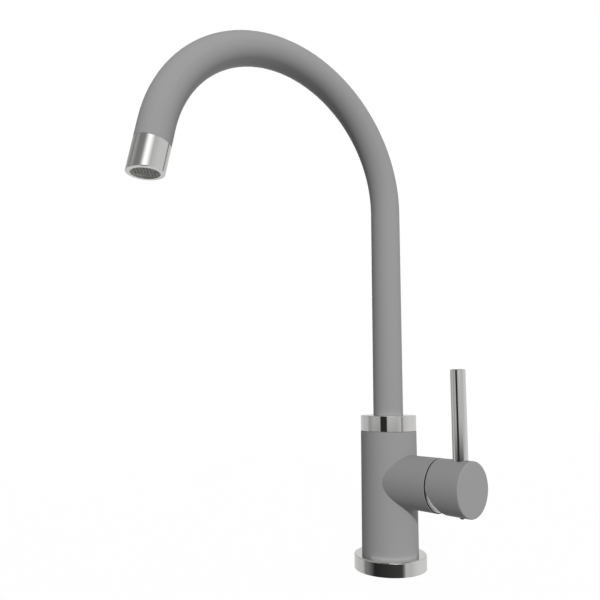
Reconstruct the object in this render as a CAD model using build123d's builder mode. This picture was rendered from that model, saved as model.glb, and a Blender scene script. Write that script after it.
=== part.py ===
# Single-hole kitchen mixer tap: swan-neck spout, side pin lever, ceramic-disc cartridge.
# Millimetres. Origin at the centre of the flange's underside, on the deck.
# +Z up, handle towards +X, spout towards -Y but swung a little, as it stands in the photo.
import os
from math import cos, radians, sin, sqrt, tan

from build123d import *

os.makedirs("parts", exist_ok=True)

# Clearances
slip_gap = 0.05  # between pieces that are assembled and stay put
run_gap = 0.3  # between pieces that move past each other
pin_gap = 0.04  # between a pivot pin and the bore that turns on it
lapped_gap = 0.02  # film between the two ceramic discs

# Body
body_radius = 21.0
body_top = 99.4
shank_step = 2.4  # the body is thinner than this where it passes through the flange
shank_foot = 0.4  # the shank stops short of the deck
edge_break = 0.25

# Base flange and its gasket
flange_overhang = 5.65  # beyond the body
flange_height = 10.0
flange_round = 0.8
gasket_width = 4.0
gasket_thickness = 1.6
gasket_inset = 1.8

# Spout tube: a straight riser, one long bend and a short straight outlet
tube_radius = 11.3
tube_wall = 1.5
bend_start = 269.85
bend_radius = 96.6
bend_angle = 169.8
outlet_straight = 12.7
spout_turn = -4.85  # degrees about the body's axis, from square to the handle

# Collar and thrust washer
collar_height = 11.5
collar_round = 0.5
washer_width = 3.2
washer_thickness = 2.2
washer_stand = 0.2  # how far the washer stands above the body

# Spigot of the spout, in the body's bore
spigot_bore = 7.5
spigot_nose = 12.0  # length brazed inside the tube
tube_lap = 1.4  # the tube ends this far above the foot of the collar
spigot_floor_gap = 1.2
o_ring_section = 2.0
o_ring_groove_slack = 0.4
o_ring_gap = 0.15  # between ring and bore
slide_ring_gap = 0.1
groove_land = 1.4  # between one groove and the next
slide_ring_height = 3.2
slide_ring_depth = 0.9
slide_ring_split = 1.0
lock_groove_height = 4.4
lock_groove_depth = 1.8

# Lock screw behind the body
lock_screw_radius = 2.5
lock_tip_radius = 1.7
lock_tip_gap = 0.5
lock_screw_inset = 2.1  # the screw ends this far inside the body's back
hex_socket_across = 2.5
hex_socket_depth = 2.5

# Water ways in the body
inlet_x = 8.0
inlet_y = 7.0
inlet_thread_radius = 4.5  # tapping drill of an M10 x 1 hose end
inlet_thread_depth = 14.0
inlet_bore = 2.6
outlet_bore = 2.8
riser_bore = 4.0
stud_x = -9.0
stud_thread_radius = 3.4  # tapping drill of an M8 fixing stud
stud_thread_depth = 20.0

# Handle branch
handle_height = 63.55
branch_end = 45.7
branch_wall = 2.88

# Cartridge
cartridge_radius = 14.0
shell_wall = 0.9
neck_step = 1.4  # the front of the shell is thinner than its body by this
nut_step = 2.0  # the nut's thread is wider than the cartridge by this
nut_length = 5.3
nut_collar_length = 3.2
nut_notch_width = 3.0
nut_notch_count = 4
base_thickness = 5.0
base_rim = 1.5
fixed_disc_radius = 12.0
fixed_disc_thickness = 4.0
moving_disc_radius = 10.2
moving_disc_thickness = 4.5
disc_offset = 2.6  # the moving disc lies this far below the axis when shut
disc_port_y = 5.2
disc_inlet_radius = 2.2
disc_inlet_rise = 3.0
disc_outlet_drop = 5.0
mixing_pocket_radius = 6.8
mixing_pocket_drop = 1.8
mixing_pocket_depth = 2.2
seal_width = 1.1
seal_thickness = 1.7
peg_radius = 1.4
peg_length = 3.0
peg_y = 9.6
peg_drop = 6.5
carrier_radius = 8.0
carrier_half_width = 7.0
carrier_floor = 1.2
guide_rib_width = 2.0
guide_rib_length = 3.8
guide_rib_half_height = 7.5
rotor_flange_thickness = 4.0
rotor_flange_gap = 0.4
shell_reach = 5.6  # how far the shell stands out of the branch
shell_front_wall = 1.4
rotor_neck_radius = 8.7
rotor_neck_reach = 1.0

# Stem and its pivot
pivot_inset = 0.4
pivot_pin_radius = 1.5
pivot_pin_half_length = 10.6
stem_across = 7.0
stem_arm = 12.0  # from the pivot to the centre of the ball
stem_ball_radius = 2.6
stem_neck_radius = 2.0
stem_socket_lip = 1.6
tilt_max = 23.0

# Dome ring between branch and handle
dome_flange_inset = 0.5
dome_flange_thickness = 0.5
dome_wall = 1.0
dome_opening_angle = 52.0
dome_gap = 0.4

# Handle cap
cap_setback = 0.1  # the cap is smaller than the branch by this
cap_gap = 0.6
cap_length = 25.5
cap_wall = 2.1
cap_round = 0.8
cap_cut_angle = 24.4
cap_cut_drop = 1.2
boss_standoff = 12.0
boss_gap = 0.45
stem_end_inset = 3.3

# Lever
lever_radius = 5.25
lever_top = 143.9
lever_inset = 9.35  # from the cap's outer face to the axis of the lever and the grub screw
lever_seat_depth = 1.5
lever_spigot_radius = 2.0
lever_spigot_length = 8.0
lever_edge = 0.5

# Grub screw and plug under the cap
grub_radius = 2.0
grub_length = 8.0
plug_length = 4.0
plug_nub_radius = 1.5
plug_nub_length = 1.2

# Aerator: a sleeve in line with the end of the neck, whose mouth is level
aerator_drop = 19.45  # from the end of the neck down to the mouth, on the sleeve's axis
aerator_wall = 2.55  # at the mouth
aerator_thread_length = 8.0
aerator_throat_radius = 6.0
aerator_round = 0.5
joint_round = 0.2
insert_recess = 1.2
insert_length = 5.0
insert_wall = 1.0
insert_grid_thickness = 1.0
grid_cell = 1.7
grid_rib = 0.4
grid_count = 7
screen_thickness = 0.5
screen_hole_radius = 0.45
screen_pitch = 1.6
screen_count = 7
regulator_thickness = 1.6
regulator_hole_radius = 0.7
regulator_hole_count = 10
washer_ring_width = 1.6
washer_ring_thickness = 1.2

# Places worked out from the sizes above
shank_radius = body_radius - shank_step
flange_radius = body_radius + flange_overhang
collar_foot = body_top + washer_stand
tube_foot = collar_foot + tube_lap
tube_bore = tube_radius - tube_wall
spout_bore = tube_radius + run_gap
washer_radius = spout_bore + washer_width

nut_radius = cartridge_radius + nut_step
branch_radius = nut_radius + slip_gap + branch_wall
pivot_x = branch_end - pivot_inset
ball_x = pivot_x - stem_arm
carrier_top = ball_x + stem_socket_lip
socket_floor = ball_x - stem_ball_radius - run_gap
carrier_foot = socket_floor - carrier_floor
moving_disc_foot = carrier_foot - moving_disc_thickness
fixed_disc_top = moving_disc_foot - lapped_gap
fixed_disc_foot = fixed_disc_top - fixed_disc_thickness
chamber_floor = fixed_disc_foot - base_thickness
base_top = fixed_disc_foot + base_rim
shell_front = branch_end + shell_reach
shell_bore = cartridge_radius - shell_wall
neck_radius = cartridge_radius - neck_step
neck_bore = neck_radius - shell_wall
rotor_foot = carrier_top + rotor_flange_gap
rotor_shoulder = rotor_foot + rotor_flange_thickness
nut_foot = branch_end - nut_length
socket_radius = stem_ball_radius + run_gap

cap_radius = branch_radius - cap_setback
cavity_radius = cap_radius - cap_wall
dome_radius = cavity_radius - dome_gap
dome_inner_radius = dome_radius - dome_wall
dome_flange_face = branch_end + dome_flange_thickness
cap_rim = dome_flange_face + cap_gap
cap_end = cap_rim + cap_length
clear_angle = radians(dome_opening_angle - tilt_max)
cavity_floor = pivot_x + dome_radius * cos(clear_angle) + dome_gap
boss_radius = dome_inner_radius * sin(clear_angle) - boss_gap
boss_face = pivot_x + boss_standoff
stem_end = cap_end - stem_end_inset
stem_half = stem_across / 2
lever_x = cap_end - lever_inset
lever_seat = handle_height + cap_radius - lever_seat_depth

# Working planes: half sections with the turning axis along local x or y
handle_axis = Axis((0, 0, handle_height), (1, 0, 0))
handle_section = Plane(origin=(0, 0, handle_height), x_dir=(1, 0, 0), z_dir=(0, -1, 0))


def handle_plane(x):
    """Plane across the handle axis, facing outward, local x to the rear and local y up."""
    return Plane(origin=(x, 0, handle_height), x_dir=(0, 1, 0), z_dir=(1, 0, 0))


swing = radians(spout_turn)
spout_front = Vector(sin(swing), -cos(swing), 0)
spout_side = Vector(cos(swing), sin(swing), 0)
upward = Vector(0, 0, 1)
spout_plane = Plane(origin=(0, 0, 0), x_dir=spout_front, z_dir=-spout_side)
bend = radians(bend_angle)
outlet_forward = bend_radius * (1 - cos(bend)) + outlet_straight * sin(bend)
outlet_up = bend_start + bend_radius * sin(bend) + outlet_straight * cos(bend)
outlet_plane = Plane(
    origin=spout_front * outlet_forward + upward * outlet_up,
    x_dir=spout_side,
    z_dir=spout_front * sin(bend) + upward * cos(bend),
)
outlet_axis = Axis(outlet_plane.origin, outlet_plane.z_dir)
mouth_plane = Plane(
    origin=spout_front * (outlet_forward - aerator_drop * tan(bend)) + upward * (outlet_up - aerator_drop),
    x_dir=spout_side,
    z_dir=-upward,
)

# Heights of the grooves on the spigot, from the top of the body down
o_ring_groove = o_ring_section + o_ring_groove_slack
slide_ring_high = body_top - slide_ring_height
o_ring_high = slide_ring_high - groove_land - o_ring_groove
lock_groove_foot = o_ring_high - groove_land - lock_groove_height
o_ring_low = lock_groove_foot - groove_land - o_ring_groove
slide_ring_low = o_ring_low - groove_land - slide_ring_height
spigot_foot = slide_ring_low - groove_land
bore_floor = spigot_foot - spigot_floor_gap
lock_height = lock_groove_foot + lock_groove_height / 2
lock_groove_radius = tube_radius - lock_groove_depth
o_ring_outer = spout_bore - o_ring_gap
o_ring_inner = o_ring_outer - o_ring_section
slide_ring_inner = tube_radius - slide_ring_depth

# Body casting: barrel and branch, bored for the spout, the cartridge and the water ways
with BuildPart() as body_casting:
    with BuildSketch(Plane.XZ):
        with BuildLine():
            Polyline(
                (0, shank_foot),
                (shank_radius, shank_foot),
                (shank_radius, flange_height),
                (body_radius, flange_height),
                (body_radius, body_top),
                (0, body_top),
                close=True,
            )
        make_face()
    revolve(axis=Axis.Z)
    with BuildSketch(handle_plane(0)):
        Circle(branch_radius)
    extrude(amount=branch_end)
    branch_rim = body_casting.edges().filter_by(GeomType.CIRCLE).sort_by(Axis.X)[-1]
    body_rim = body_casting.edges().filter_by(GeomType.CIRCLE).sort_by(Axis.Z)[-1]
    chamfer([branch_rim, body_rim], length=edge_break)
    # Bore for the spigot, with a seat for the thrust washer
    with BuildSketch(Plane.XY.offset(body_top)):
        Circle(spout_bore)
    extrude(amount=bore_floor - body_top, mode=Mode.SUBTRACT)
    with BuildSketch(Plane.XY.offset(body_top)):
        Circle(washer_radius + slip_gap)
    extrude(amount=washer_stand - washer_thickness, mode=Mode.SUBTRACT)
    # Cartridge chamber and the thread of its nut
    with BuildSketch(handle_plane(branch_end)):
        Circle(cartridge_radius + slip_gap)
    extrude(amount=chamber_floor - branch_end, mode=Mode.SUBTRACT)
    with BuildSketch(handle_plane(branch_end)):
        Circle(nut_radius + slip_gap)
    extrude(amount=nut_foot - branch_end, mode=Mode.SUBTRACT)
    # Holes for the pegs of the cartridge
    with BuildSketch(handle_plane(chamber_floor)):
        with Locations((-peg_y, -peg_drop), (peg_y, -peg_drop)):
            Circle(peg_radius + slip_gap)
    extrude(amount=-(peg_length + run_gap), mode=Mode.SUBTRACT)
    # Hot and cold: up from the hose threads, then across to the chamber
    with BuildSketch(Plane.XY.offset(shank_foot)):
        with Locations((inlet_x, -inlet_y), (inlet_x, inlet_y)):
            Circle(inlet_thread_radius)
    extrude(amount=inlet_thread_depth, mode=Mode.SUBTRACT)
    with BuildSketch(Plane.XY.offset(shank_foot)):
        with Locations((inlet_x, -inlet_y), (inlet_x, inlet_y)):
            Circle(inlet_bore)
    extrude(amount=handle_height + disc_inlet_rise + inlet_bore - shank_foot, mode=Mode.SUBTRACT)
    with BuildSketch(handle_plane(chamber_floor)):
        with Locations((-inlet_y, disc_inlet_rise), (inlet_y, disc_inlet_rise)):
            Circle(disc_inlet_radius)
    extrude(amount=inlet_x - chamber_floor, mode=Mode.SUBTRACT)
    # Mixed water: across from the chamber, then up to the spigot
    with BuildSketch(handle_plane(chamber_floor)):
        with Locations((0, -disc_outlet_drop)):
            Circle(outlet_bore)
    extrude(amount=-chamber_floor, mode=Mode.SUBTRACT)
    with BuildSketch(Plane.XY.offset(handle_height - disc_outlet_drop)):
        Circle(riser_bore)
    extrude(amount=bore_floor - handle_height + disc_outlet_drop, mode=Mode.SUBTRACT)
    # Thread for the fixing stud
    with BuildSketch(Plane.XY.offset(shank_foot)):
        with Locations((stud_x, 0)):
            Circle(stud_thread_radius)
    extrude(amount=stud_thread_depth, mode=Mode.SUBTRACT)
    # Thread for the spout lock screw, through the back wall
    with BuildSketch(Plane.ZX.offset(spout_bore / 2)):
        with Locations((lock_height, 0)):
            Circle(lock_screw_radius + slip_gap)
    extrude(amount=body_radius, mode=Mode.SUBTRACT)
body_casting.part.label = "body_casting"
export_step(body_casting.part, "parts/body_casting.step")

# Base flange: ring under the body's shoulder, with a recess for the gasket
gasket_outer = flange_radius - gasket_inset
gasket_inner = gasket_outer - gasket_width
with BuildPart() as base_flange:
    with BuildSketch():
        Circle(flange_radius)
        Circle(shank_radius + slip_gap, mode=Mode.SUBTRACT)
    extrude(amount=flange_height)
    top_rim = base_flange.edges().filter_by(GeomType.CIRCLE).group_by(Axis.Z)[-1].sort_by(SortBy.RADIUS)[-1]
    fillet(top_rim, radius=flange_round)
    with BuildSketch():
        Circle(gasket_outer + slip_gap)
        Circle(gasket_inner - slip_gap, mode=Mode.SUBTRACT)
    extrude(amount=gasket_thickness, mode=Mode.SUBTRACT)
base_flange.part.label = "base_flange"
export_step(base_flange.part, "parts/base_flange.step")

with BuildPart() as base_gasket:
    with BuildSketch():
        Circle(gasket_outer)
        Circle(gasket_inner, mode=Mode.SUBTRACT)
    extrude(amount=gasket_thickness)
base_gasket.part.label = "base_gasket"
export_step(base_gasket.part, "parts/base_gasket.step")

# Thrust washer: sits in the body's top, and the collar turns on it
with BuildPart() as thrust_washer:
    with BuildSketch(Plane.XY.offset(collar_foot)):
        Circle(washer_radius)
        Circle(spout_bore, mode=Mode.SUBTRACT)
    extrude(amount=-washer_thickness)
thrust_washer.part.label = "thrust_washer"
export_step(thrust_washer.part, "parts/thrust_washer.step")

# Collar: bright ring on the foot of the spout, as wide as the body
with BuildPart() as collar:
    with BuildSketch(Plane.XY.offset(collar_foot)):
        Circle(body_radius)
        Circle(tube_radius + slip_gap, mode=Mode.SUBTRACT)
    extrude(amount=collar_height)
    collar_rims = collar.edges().filter_by(GeomType.CIRCLE).sort_by(SortBy.RADIUS)[-2:]
    fillet(collar_rims.sort_by(Axis.Z)[-1], radius=collar_round)
    chamfer(collar.edges().filter_by(GeomType.CIRCLE).group_by(Axis.Z)[0].sort_by(SortBy.RADIUS)[-1],
            length=edge_break / 2)
collar.part.label = "collar"
export_step(collar.part, "parts/collar.step")

# Spout tube: one swept swan neck
with BuildPart() as spout_tube:
    with BuildLine(spout_plane) as neck_path:
        riser = Line((0, tube_foot), (0, bend_start))
        swan_bend = JernArc(riser @ 1, (0, 1), bend_radius, -bend_angle)
        PolarLine(swan_bend @ 1, outlet_straight, direction=swan_bend % 1)
    with BuildSketch(Plane.XY.offset(tube_foot)):
        Circle(tube_radius)
        Circle(tube_bore, mode=Mode.SUBTRACT)
    sweep(path=neck_path.wires()[0])
spout_tube.part.label = "spout_tube"
export_step(spout_tube.part, "parts/spout_tube.step")

# Spigot: turned brass end of the spout, grooved for its rings and the lock screw
with BuildPart() as spout_spigot:
    with BuildSketch(Plane.XY.offset(spigot_foot)):
        Circle(tube_radius)
    extrude(amount=tube_foot - spigot_foot)
    with BuildSketch(Plane.XY.offset(tube_foot)):
        Circle(tube_bore - slip_gap)
    extrude(amount=spigot_nose)
    with BuildSketch(Plane.XY.offset(spigot_foot)):
        Circle(spigot_bore)
    extrude(amount=tube_foot - spigot_foot + spigot_nose, mode=Mode.SUBTRACT)
    for groove_foot, groove_height, groove_radius in (
        (slide_ring_low, slide_ring_height, slide_ring_inner),
        (o_ring_low, o_ring_groove, o_ring_inner),
        (lock_groove_foot, lock_groove_height, lock_groove_radius),
        (o_ring_high, o_ring_groove, o_ring_inner),
        (slide_ring_high, slide_ring_height, slide_ring_inner),
    ):
        with BuildSketch(Plane.XY.offset(groove_foot)):
            Circle(tube_radius + run_gap)
            Circle(groove_radius, mode=Mode.SUBTRACT)
        extrude(amount=groove_height, mode=Mode.SUBTRACT)
spout_spigot.part.label = "spout_spigot"
export_step(spout_spigot.part, "parts/spout_spigot.step")

# Two O-rings that seal the spigot in its bore
with BuildPart() as spout_o_rings:
    for ring_foot in (o_ring_low, o_ring_high):
        ring_height = ring_foot + o_ring_groove / 2
        with BuildSketch(Plane.XZ):
            with Locations((o_ring_inner + o_ring_section / 2, ring_height)):
                Circle(o_ring_section / 2)
        revolve(axis=Axis.Z)
spout_o_rings.part.label = "spout_o_rings"
export_step(spout_o_rings.part, "parts/spout_o_rings.step")

# Two split slide rings that the spigot turns on
with BuildPart() as spout_slide_rings:
    for ring_foot in (slide_ring_low, slide_ring_high):
        with BuildSketch(Plane.XY.offset(ring_foot)):
            Circle(spout_bore - slide_ring_gap)
            Circle(slide_ring_inner + slip_gap, mode=Mode.SUBTRACT)
            with Locations((-tube_radius, 0)):
                Rectangle(tube_radius, slide_ring_split, mode=Mode.SUBTRACT)
        extrude(amount=slide_ring_height)
spout_slide_rings.part.label = "spout_slide_rings"
export_step(spout_slide_rings.part, "parts/spout_slide_rings.step")

# Lock screw: set screw in the back of the body whose tip runs in the spigot's groove
lock_tip_end = lock_groove_radius + lock_tip_gap
lock_body_start = spout_bore + run_gap
lock_body_end = body_radius - lock_screw_inset
with BuildPart() as spout_lock_screw:
    with BuildSketch(Plane.ZX.offset(lock_body_start)):
        with Locations((lock_height, 0)):
            Circle(lock_screw_radius)
    extrude(amount=lock_body_end - lock_body_start)
    with BuildSketch(Plane.ZX.offset(lock_tip_end)):
        with Locations((lock_height, 0)):
            Circle(lock_tip_radius)
    extrude(amount=lock_body_start - lock_tip_end)
    with BuildSketch(Plane.ZX.offset(lock_body_end)):
        with Locations((lock_height, 0)):
            RegularPolygon(hex_socket_across / 2, 6, major_radius=False)
    extrude(amount=-hex_socket_depth, mode=Mode.SUBTRACT)
spout_lock_screw.part.label = "spout_lock_screw"
export_step(spout_lock_screw.part, "parts/spout_lock_screw.step")

# Cartridge base: carries the fixed disc and leads the water to it
port_centre_y = (disc_port_y + inlet_y) / 2
port_length = inlet_y - disc_port_y
with BuildPart() as cartridge_base:
    with BuildSketch(handle_plane(chamber_floor)):
        Circle(cartridge_radius)
    extrude(amount=base_top - chamber_floor)
    with BuildSketch(handle_plane(fixed_disc_foot)):
        Circle(fixed_disc_radius + slip_gap)
    extrude(amount=base_rim, mode=Mode.SUBTRACT)
    with BuildSketch(handle_plane(chamber_floor)):
        with Locations((-port_centre_y, disc_inlet_rise), (port_centre_y, disc_inlet_rise)):
            SlotCenterToCenter(port_length, 2 * disc_inlet_radius)
        with Locations((0, -disc_outlet_drop)):
            Circle(outlet_bore)
    extrude(amount=base_thickness, mode=Mode.SUBTRACT)
    with BuildSketch(handle_plane(chamber_floor)):
        with Locations((-port_centre_y, disc_inlet_rise), (port_centre_y, disc_inlet_rise)):
            SlotCenterToCenter(port_length, 2 * (disc_inlet_radius + seal_width))
        with Locations((0, -disc_outlet_drop)):
            Circle(outlet_bore + seal_width)
    extrude(amount=seal_thickness, mode=Mode.SUBTRACT)
    with BuildSketch(handle_plane(chamber_floor)):
        with Locations((-peg_y, -peg_drop), (peg_y, -peg_drop)):
            Circle(peg_radius)
    extrude(amount=-peg_length)
cartridge_base.part.label = "cartridge_base"
export_step(cartridge_base.part, "parts/cartridge_base.step")

# Three seals round the ports, between the base and the chamber's floor
with BuildPart() as cartridge_seals:
    with BuildSketch(handle_plane(chamber_floor)):
        with Locations((-port_centre_y, disc_inlet_rise), (port_centre_y, disc_inlet_rise)):
            SlotCenterToCenter(port_length, 2 * (disc_inlet_radius + seal_width))
        with Locations((0, -disc_outlet_drop)):
            Circle(outlet_bore + seal_width)
        with Locations((-port_centre_y, disc_inlet_rise), (port_centre_y, disc_inlet_rise)):
            SlotCenterToCenter(port_length, 2 * disc_inlet_radius, mode=Mode.SUBTRACT)
        with Locations((0, -disc_outlet_drop)):
            Circle(outlet_bore, mode=Mode.SUBTRACT)
    extrude(amount=seal_thickness)
cartridge_seals.part.label = "cartridge_seals"
export_step(cartridge_seals.part, "parts/cartridge_seals.step")

# Fixed ceramic disc: two inlets above, the outlet below
with BuildPart() as fixed_disc:
    with BuildSketch(handle_plane(fixed_disc_foot)):
        Circle(fixed_disc_radius)
        with Locations((-disc_port_y, disc_inlet_rise), (disc_port_y, disc_inlet_rise)):
            Circle(disc_inlet_radius, mode=Mode.SUBTRACT)
        with Locations((0, -disc_outlet_drop)):
            Circle(outlet_bore, mode=Mode.SUBTRACT)
    extrude(amount=fixed_disc_thickness)
fixed_disc.part.label = "fixed_disc"
export_step(fixed_disc.part, "parts/fixed_disc.step")

# Moving ceramic disc: its pocket joins inlets and outlet when the disc slides up
with BuildPart() as moving_disc:
    with BuildSketch(handle_plane(moving_disc_foot)):
        with Locations((0, -disc_offset)):
            Circle(moving_disc_radius)
    extrude(amount=moving_disc_thickness)
    with BuildSketch(handle_plane(moving_disc_foot)):
        with Locations((0, -disc_offset - mixing_pocket_drop)):
            Circle(mixing_pocket_radius)
    extrude(amount=mixing_pocket_depth, mode=Mode.SUBTRACT)
moving_disc.part.label = "moving_disc"
export_step(moving_disc.part, "parts/moving_disc.step")

# Disc carrier: clips on the moving disc, and its socket takes the ball of the stem
with BuildPart() as disc_carrier:
    with BuildSketch(handle_plane(carrier_foot)):
        with Locations((0, -disc_offset)):
            Circle(carrier_radius)
            Rectangle(2 * carrier_half_width, 2 * carrier_radius, mode=Mode.INTERSECT)
    extrude(amount=carrier_top - carrier_foot)
    with BuildSketch(handle_plane(carrier_top)):
        Circle(socket_radius)
    extrude(amount=socket_floor - carrier_top, mode=Mode.SUBTRACT)
disc_carrier.part.label = "disc_carrier"
export_step(disc_carrier.part, "parts/disc_carrier.step")

# Cartridge shell: stepped cup over discs and rotor
shell_shoulder = rotor_shoulder + run_gap
with BuildPart() as cartridge_shell:
    with BuildSketch(handle_section):
        with BuildLine():
            Polyline(
                (base_top, shell_bore),
                (base_top, cartridge_radius),
                (nut_foot, cartridge_radius),
                (nut_foot, neck_radius),
                (shell_front, neck_radius),
                (shell_front, rotor_neck_radius + run_gap),
                (shell_front - shell_front_wall, rotor_neck_radius + run_gap),
                (shell_front - shell_front_wall, neck_bore),
                (shell_shoulder, neck_bore),
                (shell_shoulder, shell_bore),
                close=True,
            )
        make_face()
    revolve(axis=handle_axis)
cartridge_shell.part.label = "cartridge_shell"
export_step(cartridge_shell.part, "parts/cartridge_shell.step")

# Rotor: turns in the shell for temperature, carries the pivot pin, guides the disc carrier
slot_half = stem_half + run_gap
slot_lean = tan(radians(tilt_max))
slot_grow = 1 / cos(radians(tilt_max))
rotor_front = shell_front + rotor_neck_reach
rotor_wall = shell_front - shell_front_wall - run_gap
slot_in = (pivot_x - rotor_foot) * slot_lean + slot_half * slot_grow
slot_out = (rotor_front - pivot_x) * slot_lean + slot_half * slot_grow
with BuildPart() as rotor:
    with BuildSketch(handle_section):
        with BuildLine():
            Polyline(
                (rotor_foot, 0),
                (rotor_foot, shell_bore - run_gap),
                (rotor_shoulder, shell_bore - run_gap),
                (rotor_shoulder, neck_bore - run_gap),
                (rotor_wall, neck_bore - run_gap),
                (rotor_wall, rotor_neck_radius),
                (rotor_front, rotor_neck_radius),
                (rotor_front, 0),
                close=True,
            )
        make_face()
    revolve(axis=handle_axis)
    rib_middle = carrier_half_width + run_gap + guide_rib_width / 2
    with BuildSketch(handle_plane(rotor_foot)):
        with Locations((-rib_middle, 0), (rib_middle, 0)):
            Rectangle(guide_rib_width, 2 * guide_rib_half_height)
    extrude(amount=-guide_rib_length)
    # Slot that lets the stem lean: inward end up, outward end down
    with BuildSketch(handle_section):
        with BuildLine():
            Polyline(
                (rotor_foot, -slot_half),
                (pivot_x, -slot_half * slot_grow),
                (rotor_front, -slot_out),
                (rotor_front, slot_half),
                (pivot_x, slot_half * slot_grow),
                (rotor_foot, slot_in),
                close=True,
            )
        make_face()
    extrude(amount=slot_half, both=True, mode=Mode.SUBTRACT)
    with BuildSketch(handle_section):
        with Locations((pivot_x, 0)):
            Circle(pivot_pin_radius + slip_gap / 2)
    extrude(amount=neck_bore, both=True, mode=Mode.SUBTRACT)
rotor.part.label = "rotor"
export_step(rotor.part, "parts/rotor.step")

with BuildPart() as pivot_pin:
    with BuildSketch(handle_section):
        with Locations((pivot_x, 0)):
            Circle(pivot_pin_radius)
    extrude(amount=pivot_pin_half_length, both=True)
pivot_pin.part.label = "pivot_pin"
export_step(pivot_pin.part, "parts/pivot_pin.step")

# Stem: square bar on the pivot pin, with a ball at its inner end
stem_shoulder = ball_x + stem_ball_radius + run_gap
with BuildPart() as stem:
    with BuildSketch(handle_plane(stem_shoulder)):
        Rectangle(stem_across, stem_across)
    extrude(amount=stem_end - stem_shoulder)
    with BuildSketch(handle_plane(ball_x)):
        Circle(stem_neck_radius)
    extrude(amount=stem_shoulder - ball_x)
    with Locations((ball_x, 0, handle_height)):
        Sphere(stem_ball_radius)
    with BuildSketch(handle_section):
        with Locations((pivot_x, 0)):
            Circle(pivot_pin_radius + pin_gap)
    extrude(amount=stem_across, both=True, mode=Mode.SUBTRACT)
stem.part.label = "stem"
export_step(stem.part, "parts/stem.step")

# Cartridge nut: screws into the branch and holds the shell down
with BuildPart() as cartridge_nut:
    with BuildSketch(handle_section):
        with BuildLine():
            Polyline(
                (nut_foot, neck_radius + slip_gap),
                (nut_foot, nut_radius),
                (branch_end, nut_radius),
                (branch_end, cartridge_radius),
                (branch_end + nut_collar_length, cartridge_radius),
                (branch_end + nut_collar_length, neck_radius + slip_gap),
                close=True,
            )
        make_face()
    revolve(axis=handle_axis)
    with BuildSketch(handle_plane(branch_end + nut_collar_length)):
        with PolarLocations(cartridge_radius, nut_notch_count):
            Rectangle(2 * (cartridge_radius - neck_radius), nut_notch_width)
    extrude(amount=-nut_collar_length / 2, mode=Mode.SUBTRACT)
cartridge_nut.part.label = "cartridge_nut"
export_step(cartridge_nut.part, "parts/cartridge_nut.step")

# Dome ring: bright cover whose ball face is centred on the pivot, so the cap tilts over it
opening = radians(dome_opening_angle)
dome_lip = branch_end + nut_collar_length
lip_radius = cartridge_radius + slip_gap
dome_foot_radius = sqrt(dome_radius**2 - (dome_flange_face - pivot_x) ** 2)
dome_lip_radius = sqrt(dome_inner_radius**2 - (dome_lip - pivot_x) ** 2)
with BuildPart() as dome_ring:
    with BuildSketch(handle_section):
        with BuildLine():
            outer_start = (dome_flange_face, dome_foot_radius)
            outer_end = (pivot_x + dome_radius * cos(opening), dome_radius * sin(opening))
            inner_start = (pivot_x + dome_inner_radius * cos(opening), dome_inner_radius * sin(opening))
            inner_end = (dome_lip, dome_lip_radius)
            RadiusArc(outer_start, outer_end, dome_radius)
            Line(outer_end, inner_start)
            RadiusArc(inner_start, inner_end, -dome_inner_radius)
            Polyline(
                inner_end,
                (dome_lip, lip_radius),
                (branch_end, lip_radius),
                (branch_end, branch_radius - dome_flange_inset),
                (dome_flange_face, branch_radius - dome_flange_inset),
                outer_start,
            )
        make_face()
    revolve(axis=handle_axis)
dome_ring.part.label = "dome_ring"
export_step(dome_ring.part, "parts/dome_ring.step")

# Handle cap: hollow round cap, cut away below so that it can tilt towards the branch
cut_reach = cap_length
cut_top = -cap_cut_drop
cut_foot = cut_top - cut_reach / tan(radians(cap_cut_angle))
with BuildPart() as handle_cap:
    with BuildSketch(handle_plane(cap_rim)):
        Circle(cap_radius)
    extrude(amount=cap_length)
    fillet(handle_cap.edges().filter_by(GeomType.CIRCLE).sort_by(Axis.X)[-1], radius=cap_round)
    with BuildSketch(handle_plane(cap_rim)):
        Circle(cavity_radius)
    extrude(amount=cavity_floor - cap_rim, mode=Mode.SUBTRACT)
    with BuildSketch(handle_plane(boss_face)):
        Circle(boss_radius)
    extrude(amount=cavity_floor - boss_face)
    with BuildSketch(handle_section):
        with BuildLine():
            Polyline(
                (cap_rim, cut_top),
                (cap_rim, cut_foot),
                (cap_rim + cut_reach, cut_foot),
                close=True,
            )
        make_face()
    extrude(amount=2 * cap_radius, both=True, mode=Mode.SUBTRACT)
    # Square socket of the stem
    with BuildSketch(handle_plane(boss_face)):
        Rectangle(stem_across + 2 * slip_gap, stem_across + 2 * slip_gap)
    extrude(amount=stem_end + slip_gap - boss_face, mode=Mode.SUBTRACT)
    # Seat and thread of the lever
    with BuildSketch(Plane.XY.offset(lever_seat)):
        with Locations((lever_x, 0)):
            Circle(lever_radius + slip_gap)
    extrude(amount=2 * lever_seat_depth, mode=Mode.SUBTRACT)
    with BuildSketch(Plane.XY.offset(lever_seat)):
        with Locations((lever_x, 0)):
            Circle(lever_spigot_radius + slip_gap)
    extrude(amount=-(lever_spigot_length + run_gap), mode=Mode.SUBTRACT)
    # Thread of the grub screw, up from below
    with BuildSketch(Plane.XY.offset(handle_height)):
        with Locations((lever_x, 0)):
            Circle(grub_radius + slip_gap)
    extrude(amount=-2 * cap_radius, mode=Mode.SUBTRACT)
handle_cap.part.label = "handle_cap"
export_step(handle_cap.part, "parts/handle_cap.step")

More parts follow.
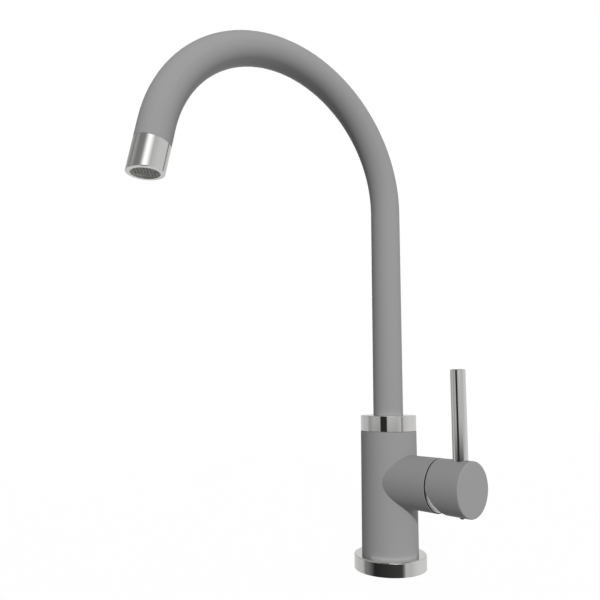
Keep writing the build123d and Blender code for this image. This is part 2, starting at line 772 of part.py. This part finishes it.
# Lever rod: bright pin with a threaded spigot in the cap
with BuildPart() as lever_rod:
    with BuildSketch(Plane.XY.offset(lever_seat)):
        with Locations((lever_x, 0)):
            Circle(lever_radius)
    extrude(amount=lever_top - lever_seat)
    chamfer(lever_rod.edges().sort_by(Axis.Z)[-1], length=lever_edge)
    with BuildSketch(Plane.XY.offset(lever_seat)):
        with Locations((lever_x, 0)):
            Circle(lever_spigot_radius)
    extrude(amount=-lever_spigot_length)
lever_rod.part.label = "lever_rod"
export_step(lever_rod.part, "parts/lever_rod.step")

# Grub screw that clamps the cap on the stem, and the plug below it
grub_top = handle_height - stem_half
with BuildPart() as handle_grub_screw:
    with BuildSketch(Plane.XY.offset(grub_top)):
        with Locations((lever_x, 0)):
            Circle(grub_radius)
    extrude(amount=-grub_length)
    with BuildSketch(Plane.XY.offset(grub_top - grub_length)):
        with Locations((lever_x, 0)):
            RegularPolygon(grub_radius / 2, 6, major_radius=False)
    extrude(amount=grub_length / 3, mode=Mode.SUBTRACT)
handle_grub_screw.part.label = "handle_grub_screw"
export_step(handle_grub_screw.part, "parts/handle_grub_screw.step")

plug_mouth = handle_height - cap_radius
with BuildPart() as screw_plug:
    with BuildSketch(Plane.XY.offset(plug_mouth)):
        with Locations((lever_x, 0)):
            Circle(grub_radius)
    extrude(amount=plug_length)
    with BuildSketch(Plane.XY.offset(plug_mouth)):
        with Locations((lever_x, 0)):
            Circle(plug_nub_radius)
    extrude(amount=-plug_nub_length)
    fillet(screw_plug.edges().sort_by(Axis.Z)[0], radius=plug_nub_radius / 2)
screw_plug.part.label = "screw_plug"
export_step(screw_plug.part, "parts/screw_plug.step")

# Aerator housing: bright sleeve screwed into the end of the neck, cut level at the mouth and bored from there
mouth_radius = tube_radius - aerator_wall
insert_radius = mouth_radius - slip_gap
insert_back = -insert_recess - insert_length
regulator_face = insert_back - screen_thickness
washer_face = regulator_face - regulator_thickness
bore_shoulder = washer_face - washer_ring_thickness
with BuildPart() as aerator_housing:
    with BuildSketch(outlet_plane):
        Circle(tube_radius)
    extrude(amount=aerator_drop + tube_radius)
    joint_face = aerator_housing.faces().sort_by(outlet_axis)[0]
    with BuildSketch(mouth_plane):
        Circle(2 * tube_radius)
    extrude(amount=2 * tube_radius, mode=Mode.SUBTRACT)
    fillet(joint_face.edges(), radius=joint_round)
    mouth_face = aerator_housing.faces().sort_by(Axis.Z)[0]
    fillet(mouth_face.edges(), radius=aerator_round)
    with BuildSketch(outlet_plane):
        Circle(tube_bore - slip_gap)
    extrude(amount=-aerator_thread_length)
    with BuildSketch(outlet_plane.offset(-aerator_thread_length)):
        Circle(aerator_throat_radius)
    extrude(amount=aerator_thread_length + aerator_drop, mode=Mode.SUBTRACT)
    with BuildSketch(mouth_plane):
        Circle(mouth_radius)
    extrude(amount=bore_shoulder, mode=Mode.SUBTRACT)
aerator_housing.part.label = "aerator_housing"
export_step(aerator_housing.part, "parts/aerator_housing.step")

# Stack inside the housing, from the mouth inward: insert, screen, regulator, washer
with BuildPart() as aerator_insert:
    with BuildSketch(mouth_plane.offset(insert_back)):
        Circle(insert_radius)
        Circle(insert_radius - insert_wall, mode=Mode.SUBTRACT)
    extrude(amount=insert_length)
    with BuildSketch(mouth_plane.offset(-insert_recess - insert_grid_thickness)):
        Circle(insert_radius - insert_wall / 2)
        with HexLocations((grid_cell + grid_rib) / 2, grid_count, grid_count):
            RegularPolygon(grid_cell / 2, 6, major_radius=False, mode=Mode.SUBTRACT)
    extrude(amount=insert_grid_thickness)
aerator_insert.part.label = "aerator_insert"
export_step(aerator_insert.part, "parts/aerator_insert.step")

with BuildPart() as aerator_screen:
    with BuildSketch(mouth_plane.offset(insert_back)):
        Circle(insert_radius)
        with GridLocations(screen_pitch, screen_pitch, screen_count, screen_count):
            Circle(screen_hole_radius, mode=Mode.SUBTRACT)
    extrude(amount=-screen_thickness)
aerator_screen.part.label = "aerator_screen"
export_step(aerator_screen.part, "parts/aerator_screen.step")

with BuildPart() as flow_regulator:
    with BuildSketch(mouth_plane.offset(regulator_face)):
        Circle(insert_radius)
        with PolarLocations(insert_radius - insert_wall - 2 * regulator_hole_radius, regulator_hole_count):
            Circle(regulator_hole_radius, mode=Mode.SUBTRACT)
    extrude(amount=-regulator_thickness)
flow_regulator.part.label = "flow_regulator"
export_step(flow_regulator.part, "parts/flow_regulator.step")

with BuildPart() as aerator_washer:
    with BuildSketch(mouth_plane.offset(washer_face)):
        Circle(insert_radius)
        Circle(insert_radius - washer_ring_width, mode=Mode.SUBTRACT)
    extrude(amount=-washer_ring_thickness)
aerator_washer.part.label = "aerator_washer"
export_step(aerator_washer.part, "parts/aerator_washer.step")
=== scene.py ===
from math import cos, pi, radians, sin

import bmesh
import bpy
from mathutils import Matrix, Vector


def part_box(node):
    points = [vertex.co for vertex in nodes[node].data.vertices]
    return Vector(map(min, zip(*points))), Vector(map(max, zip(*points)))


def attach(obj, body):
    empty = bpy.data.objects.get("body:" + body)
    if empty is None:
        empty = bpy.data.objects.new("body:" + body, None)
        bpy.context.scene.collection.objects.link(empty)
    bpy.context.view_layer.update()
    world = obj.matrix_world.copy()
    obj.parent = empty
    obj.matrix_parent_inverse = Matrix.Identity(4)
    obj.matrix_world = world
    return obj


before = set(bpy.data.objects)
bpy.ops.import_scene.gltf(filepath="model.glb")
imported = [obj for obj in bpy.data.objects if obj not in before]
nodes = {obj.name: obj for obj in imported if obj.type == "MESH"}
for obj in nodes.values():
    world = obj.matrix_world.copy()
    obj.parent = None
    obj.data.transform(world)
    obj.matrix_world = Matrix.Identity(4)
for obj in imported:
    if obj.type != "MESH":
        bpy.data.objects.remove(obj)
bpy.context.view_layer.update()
scene = bpy.context.scene
mm = 0.001
handleZ = 63.55 * mm  # height of the handle's axis


# shader sockets as Python values
class Wire:
    def __init__(self, finish, socket):
        self.finish = finish
        self.socket = socket

    def math(self, operation, other, flipped=False):
        pair = (other, self) if flipped else (self, other)
        return self.finish.node("ShaderNodeMath", {"operation": operation}, dict(enumerate(pair)))

    def __add__(self, other):
        return self.math("ADD", other)

    def __sub__(self, other):
        return self.math("SUBTRACT", other)

    def __rsub__(self, other):
        return self.math("SUBTRACT", other, True)

    def __mul__(self, other):
        return self.math("MULTIPLY", other)

    def __truediv__(self, other):
        return self.math("DIVIDE", other)

    def __rtruediv__(self, other):
        return self.math("DIVIDE", other, True)

    def __pow__(self, other):
        return self.math("POWER", other)

    def __gt__(self, other):
        return self.math("GREATER_THAN", other)

    def __lt__(self, other):
        return self.math("LESS_THAN", other)

    def __or__(self, other):
        return self.math("MAXIMUM", other)

    __radd__ = __add__
    __rmul__ = __mul__
    __ror__ = __or__


class Finish:
    def __init__(self, tree):
        self.tree = tree
        tree.nodes.clear()

    def node(self, kind, settings, sockets, output=0):
        made = self.tree.nodes.new(kind)
        for name, value in settings.items():
            if name == "stops":
                self.setStops(made.color_ramp, value)
            else:
                setattr(made, name, value)
        for name, value in sockets.items():
            if isinstance(value, Wire):
                self.tree.links.new(value.socket, made.inputs[name])
            else:
                made.inputs[name].default_value = value
        return Wire(self, made.outputs[output]) if len(made.outputs) else None

    def setStops(self, ramp, stops):
        while len(ramp.elements) < len(stops):
            ramp.elements.new(1.0)
        for element, (place, level) in zip(ramp.elements, stops):
            element.position = place
            element.color = rgba(grey(level))

    def spot(self, kind="Object"):
        return self.node("ShaderNodeTexCoord", {}, {}, kind)

    def axes(self, spot):
        return [self.node("ShaderNodeSeparateXYZ", {}, {"Vector": spot}, axis) for axis in "XYZ"]

    def noise(self, spot, size, detail=2.0, grit=0.5):
        return self.node("ShaderNodeTexNoise", {}, {
            "Vector": spot, "Scale": 1 / size, "Detail": detail, "Roughness": grit})

    def blend(self, mask, first, second):
        return self.node("ShaderNodeMix", {"data_type": "RGBA"}, {
            "Factor": mask, "A": rgba(first), "B": rgba(second)}, "Result")

    def bump(self, height, depth):
        return self.node("ShaderNodeBump", {}, {"Height": height, "Distance": depth})

    def rise(self, value, start, end):
        return self.node("ShaderNodeMapRange", {"interpolation_type": "SMOOTHSTEP"}, {
            "Value": value, "From Min": start, "From Max": end})

    def rays(self, *kinds):
        return [self.node("ShaderNodeLightPath", {}, {}, "Is %s Ray" % kind) for kind in kinds]

    def glow(self, strength):
        return self.node("ShaderNodeEmission", {}, {"Color": rgba(grey(1)), "Strength": strength})

    def surface(self, shader):
        self.node("ShaderNodeOutputMaterial", {}, {"Surface": shader})

    def shade(self, sockets):
        self.surface(self.node("ShaderNodeBsdfPrincipled", {}, sockets))


def rgba(colour):
    return colour if isinstance(colour, Wire) else (*colour, 1)


def grey(level):
    return (level, level, level)


def newFinish(name):
    material = bpy.data.materials.new(name)
    material.use_nodes = True
    return material, Finish(material.node_tree)


def dressNode(name, material):
    slots = nodes[name].data.materials
    slots.clear()
    slots.append(material)


def addObject(name, data, material):
    data.materials.append(material)
    holder = bpy.data.objects.new(name, data)
    scene.collection.objects.link(holder)
    return holder


def offAxis(first, second):
    return (first * first + second * second) ** 0.5


# grey lacquer over cast brass, bare inside
coatLook = {
    "grey": (0.300, 0.297, 0.300),
    "greyLight": (0.318, 0.315, 0.318),
    # painted shade, near black, for the end face of the branch in the gap under the cap
    "paintedEndShade": (0.03, 0.03, 0.03),
    "brass": (0.58, 0.44, 0.22),
    "brassDark": (0.44, 0.32, 0.15),
    "cloudSize": 26 * mm,
    "peelSize": 0.9 * mm,
    "speckSize": 0.28 * mm,
    "turnedSize": 0.35 * mm,
    "cloudTone": 0.5,  # the rest of the tone is specks
    "peelHeight": 0.8,  # the rest of the relief is specks
    "peelDepth": 0.012 * mm,
    "roughness": 0.50,
    "cloudRoughness": 0.10,
    "speckRoughness": 0.06,
    "brassRoughness": 0.30,
    "turnedRoughness": 0.15,
    "brassMetal": 0.95,
    "gloss": 0.06,
}


def greyCoat(name, bareMask=None, paintedShadeMask=None):
    look = coatLook
    material, finish = newFinish(name)
    spot = finish.spot()
    cloud = finish.noise(spot, look["cloudSize"], detail=3.0)
    peel = finish.noise(spot, look["peelSize"])
    speck = finish.noise(spot, look["speckSize"], detail=1.0)
    tone = cloud * look["cloudTone"] + speck * (1 - look["cloudTone"])
    colour = finish.blend(tone, look["grey"], look["greyLight"])
    rough = look["roughness"] + (cloud - 0.5) * look["cloudRoughness"]
    rough = rough + (speck - 0.5) * look["speckRoughness"]
    relief = peel * look["peelHeight"] + speck * (1 - look["peelHeight"])
    sockets = {"Normal": finish.bump(relief, look["peelDepth"]), "Specular IOR Level": look["gloss"]}
    # painted shade: near black on the branch's end face
    if paintedShadeMask:
        colour = finish.blend(paintedShadeMask(*finish.axes(spot)), colour, look["paintedEndShade"])
    if bareMask:
        bare = bareMask(*finish.axes(spot))
        turned = finish.noise(spot, look["turnedSize"])
        colour = finish.blend(bare, colour, finish.blend(turned, look["brassDark"], look["brass"]))
        turnedRough = look["brassRoughness"] + turned * look["turnedRoughness"]
        rough = rough * (1 - bare) + turnedRough * bare
        sockets["Metallic"] = bare * look["brassMetal"]
    finish.shade({"Base Color": colour, "Roughness": rough, **sockets})
    return material


# where the body's coat ends, and where its painted shade starts: radii of barrel and branch, and
# places along them
bodyEdge = {
    "barrel": 20.3 * mm,
    "foot": 9.9 * mm,
    "branch": 16.2 * mm,
    "branchStart": 18 * mm,
    "branchFoot": 20 * mm,
    "branchEndShade": 45.66 * mm,
    "endFoot": 40 * mm,
}


def bodyBare(x, y, z):
    edge = bodyEdge
    barrel = offAxis(x, y) > edge["barrel"]
    branch = offAxis(y, z - handleZ) > edge["branch"]
    branch = branch * (x > edge["branchStart"]) * (z > edge["branchFoot"])
    return 1 - (barrel | branch) * (z > edge["foot"])


# painted shade: the end face of the branch is painted near black, so the gap under the cap reads as
# a dark line
def branchEndShade(x, y, z):
    return (x > bodyEdge["branchEndShade"]) * (z > bodyEdge["endFoot"])


capEdge = {"bore": 16 * mm, "inner": 55 * mm, "outer": 71 * mm}


def capBare(x, y, z):
    bore = offAxis(y, z - handleZ) < capEdge["bore"]
    return bore * (x > capEdge["inner"]) * (x < capEdge["outer"])


dressNode("body_casting", greyCoat("grey_coat_body", bodyBare, branchEndShade))
dressNode("spout_tube", greyCoat("grey_coat_spout"))
dressNode("handle_cap", greyCoat("grey_coat_cap", capBare))
print("coat: body, spout and cap")

# bright plating
chromeLook = {
    "tone": (0.815, 0.81, 0.795),
    "toneDull": (0.78, 0.775, 0.76),
    # painted shade, near black, for the dome ring's outer edge in the gap under the cap
    "shadeRim": (0.02, 0.02, 0.02),
    "smearSize": 7 * mm,
    "smearGrit": 0.6,
    "waveSize": 3.5 * mm,
    "waveDepth": 0.0012 * mm,
    "fineSize": 0.3 * mm,
    "roughness": 0.055,
    "smearRoughness": 0.04,
    "fineRoughness": 0.02,
    "shadeRimRoughness": 0.6,
    "seatRoughness": 0.4,
}


def brightChrome(name, shadeAndSeatMask=None):
    look = chromeLook
    material, finish = newFinish(name)
    spot = finish.spot()
    smear = finish.noise(spot, look["smearSize"], detail=4.0, grit=look["smearGrit"])
    wave = finish.noise(spot, look["waveSize"], detail=1.0)
    fine = finish.noise(spot, look["fineSize"])
    colour = finish.blend(smear, look["tone"], look["toneDull"])
    rough = look["roughness"] + (smear - 0.5) * look["smearRoughness"]
    rough = rough + (fine - 0.5) * look["fineRoughness"]
    metal = 1.0
    # painted shade: near black, matte and not metal on the masked edge; the seat is only rougher
    if shadeAndSeatMask:
        shadeRim, seat = shadeAndSeatMask(*finish.axes(spot))
        colour = finish.blend(shadeRim, colour, look["shadeRim"])
        rough = rough | shadeRim * look["shadeRimRoughness"] | seat * look["seatRoughness"]
        metal = 1 - shadeRim
    finish.shade({"Base Color": colour, "Metallic": metal, "Roughness": rough,
                  "Normal": finish.bump(wave, look["waveDepth"])})
    return material


domeEdge = {"shadeRim": 18.1 * mm, "seat": 16.4 * mm, "seatEnd": 46.3 * mm}


# painted shade: the outer edge of the dome ring is painted near black, matte and not metal, so the
# gap under the cap reads dark; the seat inside it is satin
def domeShadeAndSeat(x, y, z):
    out = offAxis(y, z - handleZ)
    return out > domeEdge["shadeRim"], (out > domeEdge["seat"]) * (x < domeEdge["seatEnd"])


chrome = brightChrome("chrome")
for name in ("base_flange", "collar", "aerator_housing", "lever_rod"):
    dressNode(name, chrome)
dressNode("dome_ring", brightChrome("chrome_dome", domeShadeAndSeat))
print("chrome: flange, collar, aerator, dome and lever")

# what the plain finishes of the inner pieces share
innerLook = {
    "cloudGrains": 12,  # size of the clouds, in grains
    "grainTone": 0.6,  # the rest of the tone is clouds
    "shank": 0.97,  # of a screw's radius, where its thread starts
}


def innerFinish(name, look, screw=None):
    material, finish = newFinish(name)
    spot = finish.spot()
    grain = finish.noise(spot, look["grain"], detail=3.0)
    cloud = finish.noise(spot, innerLook["cloudGrains"] * look["grain"])
    tone = grain * innerLook["grainTone"] + cloud * (1 - innerLook["grainTone"])
    if screw:
        relief = finish.bump(screwThread(finish, spot, screw), screw["pitch"] / 2)
    else:
        relief = finish.bump(grain, look["depth"])
    finish.shade({
        "Base Color": finish.blend(tone, look["dark"], look["light"]),
        "Metallic": look.get("metal", 0.0),
        "Roughness": look["roughness"] + (grain - 0.5) * look["spread"],
        "Normal": relief,
    })
    return material


# rolled thread, as height over the screw's shank: it rises and falls once in each pitch
def screwThread(finish, spot, screw):
    low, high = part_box(screw["node"])
    parts = [part - middle for part, middle in zip(finish.axes(spot), (low + high) / 2)]
    along = parts.pop(screw["axis"])
    turn = parts[0].math("ARCTAN2", parts[1]) / (2 * pi)
    shank = offAxis(*parts) > screw["radius"] * innerLook["shank"]
    return (along / screw["pitch"] + turn).math("PINGPONG", 0.5) * shank


lockScrew = {"node": "spout_lock_screw", "axis": 1, "radius": 2.5 * mm, "pitch": 0.8 * mm}
grubScrew = {"node": "handle_grub_screw", "axis": 2, "radius": 2.0 * mm, "pitch": 0.7 * mm}
rubberLook = {"dark": (0.012, 0.012, 0.012), "light": (0.026, 0.026, 0.025), "grain": 0.5 * mm,
              "roughness": 0.66, "spread": 0.2, "depth": 0.02 * mm}
acetalLook = {"dark": (0.72, 0.72, 0.69), "light": (0.80, 0.80, 0.77), "grain": 0.7 * mm,
              "roughness": 0.38, "spread": 0.15, "depth": 0.006 * mm}
paleLook = {"dark": (0.52, 0.52, 0.49), "light": (0.60, 0.60, 0.57), "grain": 0.6 * mm,
            "roughness": 0.44, "spread": 0.18, "depth": 0.008 * mm}
ceramicLook = {"dark": (0.76, 0.75, 0.70), "light": (0.82, 0.81, 0.77), "grain": 0.25 * mm,
               "roughness": 0.16, "spread": 0.08, "depth": 0.001 * mm}
brassLook = {"dark": (0.56, 0.40, 0.18), "light": (0.68, 0.51, 0.25), "grain": 0.4 * mm,
             "roughness": 0.28, "spread": 0.18, "depth": 0.004 * mm, "metal": 1.0}
steelLook = {"dark": (0.42, 0.42, 0.42), "light": (0.52, 0.52, 0.52), "grain": 0.3 * mm,
             "roughness": 0.30, "spread": 0.16, "depth": 0.003 * mm, "metal": 1.0}
plugLook = {"dark": (0.135, 0.135, 0.132), "light": (0.165, 0.165, 0.160), "grain": 0.4 * mm,
            "roughness": 0.42, "spread": 0.16, "depth": 0.008 * mm}

innerPieces = {
    "black_rubber": (rubberLook, [
        "base_gasket", "cartridge_seals", "spout_o_rings", "aerator_washer"]),
    "white_acetal": (acetalLook, [
        "thrust_washer", "cartridge_base", "spout_slide_rings", "flow_regulator"]),
    "pale_plastic": (paleLook, ["cartridge_shell", "rotor", "disc_carrier", "aerator_insert"]),
    "ceramic": (ceramicLook, ["fixed_disc", "moving_disc"]),
    "raw_brass": (brassLook, ["spout_spigot", "stem", "cartridge_nut"]),
    "steel": (steelLook, ["pivot_pin", "aerator_screen"]),
    "grey_plastic": (plugLook, ["screw_plug"]),
}
finishes = {}
for slotName, (look, members) in innerPieces.items():
    finishes[slotName] = innerFinish(slotName, look)
    for name in members:
        dressNode(name, finishes[slotName])
for screw in (lockScrew, grubScrew):
    dressNode(screw["node"], innerFinish(screw["node"], steelLook, screw))
print("inner pieces:", len(finishes), "finishes and two screws")

# cut threads in the three holes under the body
threadLook = {
    "foot": 1.4 * mm,
    "steps": 30,  # to one turn
    "taper": 0.75,  # turns over which a thread runs out at each end
    "thinnest": 0.02,  # of its full size, at those ends
    "depth": 0.28,  # of the pitch
    "width": 0.92,
    "crest": 0.12,  # of the width
    "bite": 0.05 * mm,  # into the wall
}
threadHoles = {
    "hot_inlet": {"centre": (8 * mm, -7 * mm), "radius": 4.5 * mm, "pitch": 1.0 * mm,
                  "height": 12 * mm},
    "cold_inlet": {"centre": (8 * mm, 7 * mm), "radius": 4.5 * mm, "pitch": 1.0 * mm,
                   "height": 12 * mm},
    "stud": {"centre": (-9 * mm, 0), "radius": 3.4 * mm, "pitch": 1.25 * mm, "height": 18 * mm},
}


def cutThread(name, hole):
    look = threadLook
    turns = hole["height"] / hole["pitch"]
    mesh = bmesh.new()
    rings = []
    for step in range(round(turns * look["steps"]) + 1):
        done = step / look["steps"]
        fade = min(1, done / look["taper"], (turns - done) / look["taper"])
        size = hole["pitch"] * max(fade, look["thinnest"])
        outward = Vector((cos(2 * pi * done), sin(2 * pi * done), 0))
        middle = Vector((*hole["centre"], look["foot"] + done * hole["pitch"]))
        wall = middle + outward * (hole["radius"] + look["bite"])
        crest = middle + outward * (hole["radius"] - size * look["depth"])
        rise = Vector((0, 0, size * look["width"] / 2))
        flat = rise * look["crest"]
        corners = (wall - rise, crest - flat, crest + flat, wall + rise)
        rings.append([mesh.verts.new(corner) for corner in corners])
    for ring, following in zip(rings, rings[1:]):
        for near in range(4):
            far = (near + 1) % 4
            mesh.faces.new((ring[near], following[near], following[far], ring[far]))
    mesh.faces.new(rings[0])
    mesh.faces.new(reversed(rings[-1]))
    bmesh.ops.recalc_face_normals(mesh, faces=mesh.faces)
    data = bpy.data.meshes.new(name)
    mesh.to_mesh(data)
    mesh.free()
    thread = addObject(name, data, finishes["raw_brass"])
    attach(thread, "body")


for name, hole in threadHoles.items():
    cutThread(name + "_thread", hole)
print("threads:", len(threadHoles))


# studio: floor, surround, flag, glow and lamps
def addStage(name, points, faces, material, unseenBy):
    data = bpy.data.meshes.new(name)
    data.from_pydata(points, [], faces)
    holder = addObject(name, data, material)
    for ray in unseenBy:
        setattr(holder, "visible_" + ray, False)


floorLook = {
    "size": 4.0,
    "drop": 0.2 * mm,
    "tone": (0.90, 0.90, 0.90),
    "white": 0.975,  # share of the floor that the camera sees as plain white
    "unseenBy": ("diffuse", "glossy"),  # the surround stands in for its bounce
}


def makeFloor():
    look = floorLook
    half, height = look["size"] / 2, -look["drop"]
    corners = [(x * half, y * half, height) for x, y in ((-1, -1), (1, -1), (1, 1), (-1, 1))]
    material, finish = newFinish("floor_white")
    camera, glossy, through = finish.rays("Camera", "Glossy", "Transmission")
    matte = finish.node("ShaderNodeBsdfDiffuse", {}, {"Color": rgba(look["tone"])})
    share = (camera | glossy | through) * look["white"]
    finish.surface(finish.node("ShaderNodeMixShader", {}, {0: share, 1: matte, 2: finish.glow(1.0)}))
    addStage("floor", corners, [(0, 1, 2, 3)], material, look["unseenBy"])


# what the plating mirrors, going round from behind the tap: 0.5 is the front
surround = {
    "front": radians(-50.0),
    "sky": (0.26, 0.44),  # left and right
    "ground": (0.145, 0.46),
    "leftToRight": (-0.6, 0.6),  # where the left gives way to the right, 1 is square to the front
    "zenith": 0.40,
    "floor": 0.68,
    "low": [(0.0, 0.67), (0.10, 0.64), (0.16, 0.57), (0.23, 0.53), (0.26, 0.23), (0.30, 0.17),
            (0.36, 0.021), (0.60, 0.050), (0.62, 0.21), (0.635, 0.55), (0.69, 0.53), (0.74, 0.65),
            (0.80, 0.71), (1.0, 0.67)],
    "level": [(0.0, 0.67), (0.10, 0.64), (0.17, 0.54), (0.23, 0.54), (0.27, 0.33), (0.32, 0.48),
              (0.38, 0.46), (0.48, 0.48), (0.51, 0.56), (0.60, 0.52), (0.64, 0.56), (0.665, 0.52),
              (0.70, 0.61), (0.76, 0.69), (1.0, 0.70)],
    "high": [(0.0, 0.71), (0.06, 0.60), (0.12, 0.46), (0.20, 0.35), (0.25, 0.24), (0.30, 0.38),
             (0.37, 0.21), (0.45, 0.23), (0.48, 0.43), (0.505, 0.92), (0.53, 1.28), (0.565, 1.24),
             (0.595, 0.85), (0.625, 0.51), (0.68, 0.59), (0.74, 0.64), (0.84, 0.64), (0.885, 0.53),
             (0.93, 0.58), (1.0, 0.71)],
    # heights at which one gives way to the next, 1 is straight up
    "lowToLevel": (-0.13, -0.03),
    "levelToHigh": (-0.02, 0.27),
    "highToZenith": (0.66, 0.82),
    "lowToFloor": (-0.36, -0.52),
    "groundToSky": (-0.15, 0.15),
}


def makeSurround():
    look = surround
    scene.world = bpy.data.worlds.new("studio")
    scene.world.use_nodes = True
    finish = Finish(scene.world.node_tree)
    x, y, z = finish.axes(finish.spot("Generated"))
    ahead = x * cos(look["front"]) + y * sin(look["front"])
    aside = x * -sin(look["front"]) + y * cos(look["front"])
    turn = aside.math("ARCTAN2", ahead) / (2 * pi) + 0.5
    low, level, high = [finish.node("ShaderNodeValToRGB", {"stops": look[name]}, {"Fac": turn})
                        for name in ("low", "level", "high")]
    mirrored = finish.blend(finish.rise(z, *look["lowToLevel"]), low, level)
    mirrored = finish.blend(finish.rise(z, *look["levelToHigh"]), mirrored, high)
    mirrored = finish.blend(finish.rise(z, *look["highToZenith"]), mirrored, grey(look["zenith"]))
    mirrored = finish.blend(finish.rise(z, *look["lowToFloor"]), mirrored, grey(look["floor"]))
    rightward = finish.rise(aside, *look["leftToRight"])
    ground, sky = [finish.blend(rightward, *map(grey, look[name])) for name in ("ground", "sky")]
    matte = finish.blend(finish.rise(z, *look["groundToSky"]), ground, sky)
    camera, glossy, through = finish.rays("Camera", "Glossy", "Transmission")
    light = finish.blend(glossy, matte, mirrored)
    light = finish.blend(camera | through, light, grey(1))
    back = finish.node("ShaderNodeBackground", {}, {"Color": light, "Strength": 1.0})
    finish.node("ShaderNodeOutputWorld", {}, {"Surface": back})


# black card at the front left, seen only in the plating
flagLook = {
    "ahead": 0.256,
    "aside": -0.086,
    "width": 0.125,
    "foot": 0.02,
    "top": 0.30,
    "dark": (0.012, 0.012, 0.012),
    "light": (0.022, 0.022, 0.022),
    "weave": 2 * mm,
    "roughness": 0.9,
    "unseenBy": ("camera", "diffuse", "shadow", "transmission"),
}


def makeFlag():
    look = flagLook
    ahead = Vector((cos(surround["front"]), sin(surround["front"]), 0))
    aside = Vector((-ahead.y, ahead.x, 0))
    middle = ahead * look["ahead"] + aside * look["aside"]
    half = Vector((-middle.y, middle.x, 0)).normalized() * look["width"] / 2
    foot, top = Vector((0, 0, look["foot"])), Vector((0, 0, look["top"]))
    left, right = middle - half, middle + half
    material, finish = newFinish("flag_cloth")
    weave = finish.noise(finish.spot(), look["weave"])
    finish.shade({"Base Color": finish.blend(weave, look["dark"], look["light"]),
                  "Roughness": look["roughness"]})
    addStage("flag", [left + foot, right + foot, right + top, left + top], [(0, 1, 2, 3)],
             material, look["unseenBy"])


lampAim = 0.2  # height that the lamps face
lamps = {
    "key": {"size": 0.4, "watts": 262, "turn": 12, "rise": 25, "away": 6.0},
    "side": {"size": 1.8, "watts": 17, "turn": 110, "rise": 5, "away": 3.0},
    "back": {"size": 1.8, "watts": 70, "turn": -162, "rise": 12, "away": 3.0},
}


def makeLamp(name, look):
    lamp = bpy.data.lights.new(name, "AREA")
    lamp.size = look["size"]
    lamp.energy = look["watts"]
    holder = bpy.data.objects.new(name, lamp)
    scene.collection.objects.link(holder)
    turn, rise = surround["front"] + radians(look["turn"]), radians(look["rise"])
    aim = Vector((cos(rise) * cos(turn), cos(rise) * sin(turn), sin(rise)))
    holder.location = aim * look["away"] + Vector((0, 0, lampAim))
    holder.rotation_euler = (-aim).to_track_quat("-Z", "Y").to_euler()
    holder.visible_glossy = False  # the surround holds what mirrors


# light that the bright rings throw up at the foot of body and riser, on the key lamp's side
glowLook = {
    "half": radians(52),
    "steps": 32,
    "gap": 0.1 * mm,
    "unseenBy": ("camera", "glossy", "transmission", "shadow"),
}
glowRings = {
    "base_flange": {"inner": 21.2 * mm, "width": 1.6 * mm, "strength": 1.4},
    "collar": {"inner": 11.5 * mm, "width": 2.5 * mm, "strength": 0.85},
}


def makeGlow(below, ring):
    look = glowLook
    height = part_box(below)[1].z + look["gap"]
    middle = surround["front"] + radians(lamps["key"]["turn"])
    turns = [middle + look["half"] * (2 * step / look["steps"] - 1)
             for step in range(look["steps"] + 1)]
    points = [(radius * cos(turn), radius * sin(turn), height)
              for turn in turns for radius in (ring["inner"], ring["inner"] + ring["width"])]
    faces = [(near, near + 1, near + 3, near + 2) for near in range(0, 2 * look["steps"], 2)]
    material, finish = newFinish("glow_" + below)
    finish.surface(finish.glow(ring["strength"]))
    addStage("glow_" + below, points, faces, material, look["unseenBy"])


makeFloor()
makeSurround()
makeFlag()
for name, ring in glowRings.items():
    makeGlow(name, ring)
for name, look in lamps.items():
    makeLamp(name, look)
print("studio: floor, surround, flag, glow and", len(lamps), "lamps")

# camera, at the photograph's place
cameraLook = {
    "place": (0.28732, -0.34254, 0.1255),
    "forward": (-0.72442, 0.67742, 0.12776),
    "sensor": 36.0,
    "lens": 34.36,
    "shift": (-0.0296, 0.0373),
    "nearest": 0.01,
}
cameraData = bpy.data.cameras.new("camera")
cameraData.sensor_width = cameraLook["sensor"]
cameraData.lens = cameraLook["lens"]
cameraData.shift_x, cameraData.shift_y = cameraLook["shift"]
cameraData.clip_start = cameraLook["nearest"]
camera = bpy.data.objects.new("camera", cameraData)
scene.collection.objects.link(camera)
camera.location = cameraLook["place"]
camera.rotation_euler = Vector(cameraLook["forward"]).to_track_quat("-Z", "Y").to_euler()
scene.camera = camera
scene.view_settings.view_transform = "Standard"
print("camera set")
